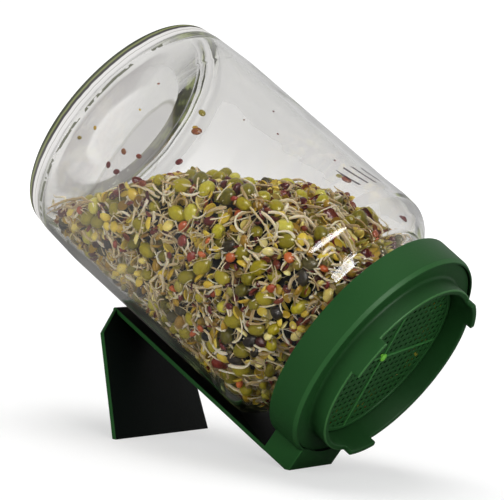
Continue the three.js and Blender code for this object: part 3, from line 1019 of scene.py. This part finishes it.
def joined(name, points, faces, colours):
    """One mesh from many copies: points and colours by copy, and the faces that each copy has."""
    count, each = points.shape[:2]
    sizes = np.array([len(face) for face in faces])
    corners = np.concatenate([np.array(face) for face in faces])
    offsets = np.arange(count) * each
    mesh = bpy.data.meshes.new(name)
    mesh.vertices.add(count * each)
    mesh.vertices.foreach_set("co", points.reshape(-1).astype(np.float32))
    mesh.loops.add(count * len(corners))
    mesh.loops.foreach_set("vertex_index", (corners[None] + offsets[:, None]).reshape(-1).astype(np.int32))
    mesh.polygons.add(count * len(faces))
    totals = np.tile(sizes, count)
    mesh.polygons.foreach_set("loop_start", (np.cumsum(totals) - totals).astype(np.int32))
    mesh.update(calc_edges=True)
    mesh.validate()
    variety = mesh.color_attributes.new("variety", "FLOAT_COLOR", "POINT")
    variety.data.foreach_set("color", colours.reshape(-1).astype(np.float32))
    return put(name, mesh)


# Sprouts: where they lie

def room(x):
    return np.interp(x, ROOM_X, ROOM_R)


def round_axis(x, r, angle):
    """Points by their place along the axis, radius, and angle from straight below."""
    return np.stack([x, r * np.sin(angle), -r * np.cos(angle)], -1)


def top(x, y):
    """Height of the heap over the axis, with a mound near its rear end and soft humps."""
    mound = np.exp(-((x - MOUND_X) / MOUND_LENGTH) ** 2 - ((y - MOUND_Y) / MOUND_WIDTH) ** 2)
    humps = 1.1 * np.sin(x / 6.1 + 1.3) * np.cos(y / 7.3 + 0.4) + 0.7 * np.sin(x / 3.1 + y / 4.2)
    return np.interp(x, TOP_X, TOP_Z) + MOUND_RISE * mound + humps


def depth(points):
    """How far points lie inside the glass wall, the glass floor and the top of the heap."""
    x, y, z = points.T
    steep = np.gradient(np.array(TOP_Z), np.array(TOP_X))
    lean = np.cos(np.arctan(np.interp(x, TOP_X, steep)))
    return room(x) - np.hypot(y, z), x - ROOM_X[0], (top(x, y) - z) * lean


def turns(rng, count):
    """Random turns as matrices, one for each copy."""
    q = rng.normal(size=(count, 4))
    a, b, c, d = (q / np.linalg.norm(q, axis=1, keepdims=True)).T
    rows = np.array([
        [1 - 2 * (c * c + d * d), 2 * (b * c - a * d), 2 * (b * d + a * c)],
        [2 * (b * c + a * d), 1 - 2 * (b * b + d * d), 2 * (c * d - a * b)],
        [2 * (b * d - a * c), 2 * (c * d + a * b), 1 - 2 * (b * b + c * c)],
    ])
    return rows.transpose(2, 0, 1)


def lay_beans(rng, size, scales, wanted, laid, shell):
    """Throws beans into the outer shell of the heap, and keeps those with room between their neighbours."""
    x = rng.uniform(ROOM_X[0], ROOM_X[-1], TRIES)
    angle = rng.uniform(0, 2 * math.pi, TRIES)
    r = room(x) * np.sqrt(rng.uniform(0, 1, TRIES))
    points = round_axis(x, r, angle)
    wall, floor, heap = depth(points)
    inside = (heap > -0.5) & (np.minimum(np.minimum(wall, floor), heap) < shell)
    points, wall = points[inside], wall[inside]
    count = len(points)
    turn = turns(rng, count)
    scale = rng.uniform(*scales, count)
    reach = np.array(size)[None] * scale[:, None]

    # Beans near the glass lie against it, and none goes through it
    outward = points[:, 1:] / np.linalg.norm(points[:, 1:], axis=1, keepdims=True)
    outward = np.concatenate([np.zeros((count, 1)), outward], 1)
    to_wall = np.linalg.norm(np.einsum("nij,ni->nj", turn, outward) * reach, axis=1)
    to_floor = np.linalg.norm(turn[:, 0] * reach, axis=1)
    near = wall < 1.7 * to_wall
    points += outward * np.where(near, wall - to_wall - 0.05, 0)[:, None]
    points[:, 0] = np.maximum(points[:, 0], ROOM_X[0] + to_floor)
    wall = room(points[:, 0]) - np.linalg.norm(points[:, 1:], axis=1)
    points += outward * np.minimum(wall - to_wall - 0.05, 0)[:, None]

    kept = []
    cell = 8
    spread = reach.mean(1)
    for i in range(count):
        if len(kept) >= wanted:
            break
        key = tuple((points[i] // cell).astype(int))
        close = (
            laid.get((key[0] + a, key[1] + b, key[2] + c), ())
            for a in (-1, 0, 1) for b in (-1, 0, 1) for c in (-1, 0, 1)
        )
        px, py, pz = points[i]
        if all(
            (px - q[0]) ** 2 + (py - q[1]) ** 2 + (pz - q[2]) ** 2 > (0.8 * (spread[i] + q[3])) ** 2
            for group in close for q in group
        ):
            laid.setdefault(key, []).append((px, py, pz, spread[i]))
            kept.append(i)
    return points[kept], turn[kept], scale[kept]


def tones_of(rng, count, each, tones=None):
    """Point colours by copy. Red is the tone that the finish goes by, and green a second, spare tone."""
    colours = np.ones((count, each, 4))
    colours[..., 0] = rng.uniform(0, 1, (count, 1)) if tones is None else tones[:, None]
    colours[..., 1] = rng.uniform(0, 1, (count, 1))
    return colours


def scatter(name, shape, places, material, rng, tones=None):
    """Copies a shape to its places as one piece."""
    points, faces = shape
    at, turn, scale = places
    copies = np.einsum("nij,pj->npi", turn, points) * scale[:, None, None] + at[:, None]
    thing = joined(name, copies, faces, tones_of(rng, len(at), len(points), tones))
    smooth(thing, 50)
    finish_piece(thing, material, "sprout_bed")


def tubes(name, lines, radii, rng, sides=5):
    """Round shoots along curved lines: one ring of points at each step, closed at both ends."""
    count, steps = lines.shape[:2]
    along = np.gradient(lines, axis=1)
    along /= np.linalg.norm(along, axis=2, keepdims=True)
    side = rng.normal(size=(count, 3))
    rings = np.empty((count, steps, sides, 3))
    for k in range(steps):
        side = side - along[:, k] * (side * along[:, k]).sum(1, keepdims=True)
        side /= np.linalg.norm(side, axis=1, keepdims=True)
        other = np.cross(along[:, k], side)
        for j in range(sides):
            angle = 2 * math.pi * j / sides
            reach = math.cos(angle) * side + math.sin(angle) * other
            rings[:, k, j] = lines[:, k] + reach * radii[:, k, None]
    faces = [tuple(range(sides))[::-1], tuple(range((steps - 1) * sides, steps * sides))]
    for k in range(steps - 1):
        for j in range(sides):
            a, b = k * sides + j, k * sides + (j + 1) % sides
            faces.append((a, b, b + sides, a + sides))
    thing = joined(name, rings.reshape(count, -1, 3), faces, tones_of(rng, count, steps * sides))
    smooth(thing, 70)
    finish_piece(thing, FINISHES["shoots"], "sprout_bed")


def curl(rng, count, steps, length):
    """Flat curls from a start at 0, step by step, for shoots that bend one way and then another."""
    step = rng.uniform(*length, (count, 1)) / (steps - 1)
    heading = rng.uniform(0, 2 * math.pi, (count, 1))
    bend = rng.normal(0, 0.16, (count, 1)) + np.cumsum(rng.normal(0, 0.05, (count, steps)), axis=1)
    heading = heading + np.cumsum(bend * step, axis=1)
    u = np.cumsum(np.cos(heading) * step, axis=1)
    v = np.cumsum(np.sin(heading) * step, axis=1)
    return u - u[:, :1], v - v[:, :1]


def thickness(rng, count, steps, stout):
    """Stout where it leaves the bean, thin at the root's tip."""
    start = rng.uniform(*stout, (count, 1))
    taper = np.linspace(1, 0.45, steps) ** 1.2
    taper[0], taper[-1] = 0.6, 0.15
    return start * taper[None]


def wall_shoots(rng, count, deep, length, steps=9, stout=(0.32, 0.8)):
    """Shoots that lie along the glass at a chosen depth, and may climb a little above the heap."""
    u, v = curl(rng, 3 * count, steps, length)
    x = rng.uniform(*WALL_SHOOTS, (3 * count, 1))
    angle = rng.uniform(0, 2 * math.pi, (3 * count, 1))
    heap = depth(round_axis(x, room(x), angle)[:, 0])[2]
    fits = np.nonzero(heap > 1)[0][:count]
    x, angle, u, v = x[fits], angle[fits], u[fits], v[fits]
    x = np.clip(x + u, *WALL_REACH)
    angle = angle + v / CURL_R
    radii = thickness(rng, len(fits), steps, stout)
    sink = rng.uniform(*deep, (len(fits), 1)) + rng.uniform(0, 0.9, (len(fits), 1)) * np.linspace(0, 1, steps)
    r = room(x) - radii.max(1, keepdims=True) - 0.08 - sink
    lines = round_axis(x, r, angle)
    lines[..., 2] = np.minimum(lines[..., 2], top(x, lines[..., 1]) + 3)
    return lines, radii


def top_shoots(rng, count, steps=9):
    """Shoots that arch over the top of the heap."""
    u, v = curl(rng, count, steps, (8, 20))
    x = np.clip(rng.uniform(*TOP_SHOOTS, (count, 1)) + u, *TOP_REACH)
    y = rng.uniform(-1, 1, (count, 1)) * 40 + v
    rise = rng.uniform(0.3, 1, (count, 1)) ** 2 * 3.6
    lift = np.sin(np.linspace(0.15, 3.3, steps)) * rise - rng.uniform(0, 2, (count, 1))
    z = top(x, y) + lift
    radii = thickness(rng, count, steps, (0.42, 0.78))
    r = np.hypot(y, z)
    most = room(x) - radii.max(1, keepdims=True) - 0.1
    y, z = y * np.minimum(1, most / r), z * np.minimum(1, most / r)
    return np.stack([x, y, z], 2), radii


def core():
    """The inside of the heap, well under its outer sprouts, near black as painted shade in the gaps between
    them.
    """
    outline = [(x, r - CORE_DEPTH) for x, r in zip(ROOM_X, ROOM_R)]
    outline[0] = (ROOM_X[0] + CORE_DEPTH, outline[0][1] - 2)
    outline[-1] = (ROOM_X[-1], ROOM_R[-1] - 2)
    outline.insert(-1, (-2, ROOM_R[-1] - 2))
    heart = turned("sprouts_heart", sorted(outline))
    edit(heart)
    ends = list(zip(TOP_X, TOP_Z))
    for (x0, z0), (x1, z1) in zip(ends, ends[1:]):
        up = Vector((z0 - z1, 0, x1 - x0)).normalized()
        bpy.ops.mesh.select_all(action="SELECT")
        at = Vector((x0, 0, z0)) - up * (CORE_DEPTH - 1)
        bpy.ops.mesh.bisect(plane_co=at, plane_no=up, use_fill=True, clear_outer=True)
    leave_edit()
    smooth(heart)
    finish_piece(heart, HEART, "sprout_bed")


def strays():
    """Hulls and seeds that stick to the inside of the glass, one by one."""
    rng = np.random.default_rng(SEED + 1)
    for finish, bits in STRAYS.items():
        shape = shape_of(bean("stray_shape", STRAY_SIZE))
        at, turn = [], []
        for x, degrees, _, _ in bits:
            out = spoke(degrees)
            spin = Matrix.Rotation(rng.uniform(0, math.pi), 3, out)
            along = spin @ Vector((1, 0, 0))
            turn.append(np.array((along, out.cross(along), out)).T)
            at.append(Vector((x, 0, 0)) + out * (room(x) - 0.2))
        tones, scale = np.array(bits).T[2:]
        places = np.array(at), np.array(turn), scale
        scatter("strays_" + finish, shape, places, FINISHES[finish], rng, tones)


def bed():
    """The heap: its dark core, the beans kind by kind, then the shoots and the strays."""
    core()
    rng = np.random.default_rng(SEED)
    laid = {}
    for name, size, form, scales, wanted, shell in KINDS:
        shape = shape_of(bean(name + "_shape", size, **form))
        places = lay_beans(rng, size, scales, wanted, laid, shell)
        scatter(name, shape, places, FINISHES[name], rng)
    tubes("shoots_on_glass", *wall_shoots(rng, 640, (0, 0.8), (4, 14)), rng)
    tubes("shoots_between", *wall_shoots(rng, 640, (1, 4), (6, 17)), rng)
    tubes("shoots_on_top", *top_shoots(rng, 300), rng)
    tubes("fine_roots", *wall_shoots(rng, 900, (0, 1.5), (3, 9), 7, (0.14, 0.3)), rng, 4)
    strays()


jar()
stand()
lid()
sieve()
bed()
camera()
surroundings()
lamps()
pale_floor()
